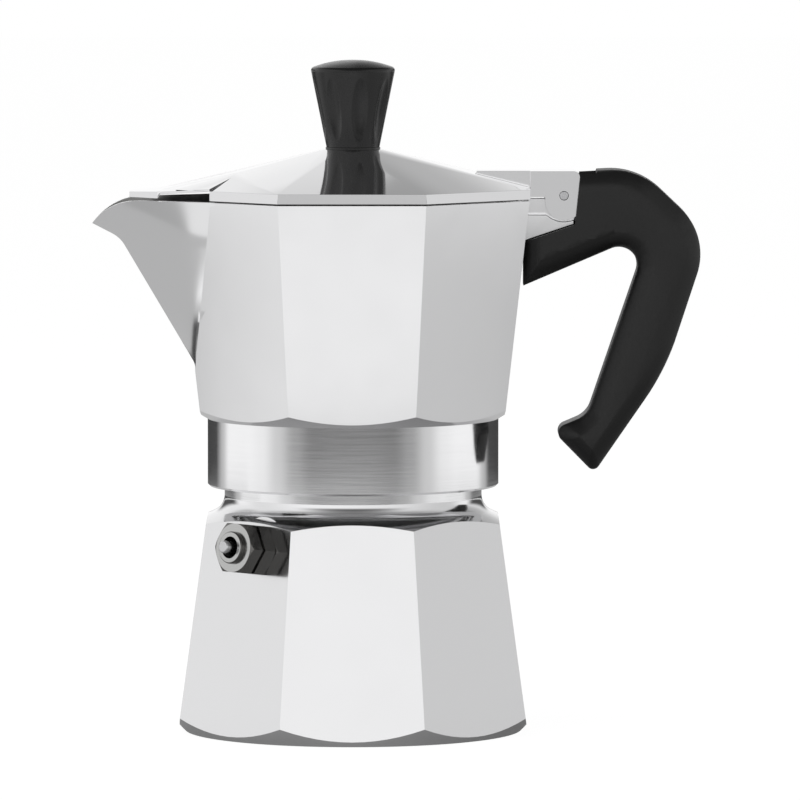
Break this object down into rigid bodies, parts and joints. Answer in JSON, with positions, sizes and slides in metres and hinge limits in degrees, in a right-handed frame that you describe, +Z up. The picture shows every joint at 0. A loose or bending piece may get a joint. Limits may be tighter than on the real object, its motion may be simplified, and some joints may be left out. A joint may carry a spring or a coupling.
{
  "type": "stovetop coffee pot",
  "caption": "Octagonal polished aluminium stovetop coffee pot: boiler with safety valve, lift-out funnel, screw-on chamber with beak, hinged lid, black hook handle and fluted knob.",
  "frame": {"origin": "middle of the flat round base that stands on the stove", "axes": "+Z up, -X to the beak, +X to the handle, -Y to the front facet, with the safety valve on the front left facet"},
  "size_m": [0.1444, 0.0838, 0.1596],
  "materials": {
    "cast_aluminium": "polished, with turned collar, neck and base edge",
    "sheet_aluminium": "satin pressed sheet",
    "valve_metal": "dark plated, semi-gloss",
    "steel": "bright steel",
    "insert_brass": "plain turned brass",
    "gasket_rubber": "matt off-white",
    "seal_rubber": "matt black",
    "handle_plastic": "satin black moulding",
    "knob_plastic": "semi-gloss black moulding"
  },
  "bodies": {
    "boiler": {"boiler": "cast_aluminium", "valve_body": "valve_metal", "valve_bush": "valve_metal", "valve_spring": "steel"},
    "valve_pin": {"valve_pin": "steel", "valve_seal": "seal_rubber"},
    "funnel": {"funnel": "sheet_aluminium", "funnel_sieve": "sheet_aluminium"},
    "gasket": {"gasket": "gasket_rubber"},
    "filter_plate": {"filter_plate": "sheet_aluminium"},
    "upper_chamber": {"upper_chamber": "cast_aluminium", "column": "cast_aluminium", "handle": "handle_plastic", "handle_screw": "steel", "hinge_pin": "steel"},
    "lid": {"lid": "cast_aluminium", "knob": "knob_plastic", "knob_insert": "insert_brass", "knob_screw": "steel"}
  },
  "joints": [
    {"name": "valve_lift", "type": "slide", "parent": "boiler", "child": "valve_pin", "axis": [-0.7008, -0.7008, 0.1333], "range_m": [0, 0.002], "stiffness_N_per_m": 1000, "springref_m": -0.003, "deforming": ["valve_spring"]},
    {"name": "funnel_lift", "type": "slide", "parent": "boiler", "child": "funnel", "axis": [0, 0, 1], "range_m": [0, 0.07]},
    {"name": "chamber_lift", "type": "slide", "parent": "funnel", "child": "gasket", "axis": [0, 0, 1], "range_m": [0, 0.05]},
    {"name": "thread_lift", "type": "slide", "parent": "gasket", "child": "filter_plate", "axis": [0, 0, 1], "range_m": [0, 0.0045]},
    {"name": "unscrew_turn", "type": "hinge", "parent": "filter_plate", "child": "upper_chamber", "pos_m": [0, 0, 0.0716], "axis": [0, 0, 1], "range_deg": [0, 540]},
    {"name": "lid_hinge", "type": "hinge", "parent": "upper_chamber", "child": "lid", "pos_m": [0.05005, 0, 0.1276], "axis": [0, 1, 0], "range_deg": [0, 100]}
  ],
  "couplings": [
    {"joint": "thread_lift", "follows": "unscrew_turn", "m_per_rad": 0.00047746}
  ]
}
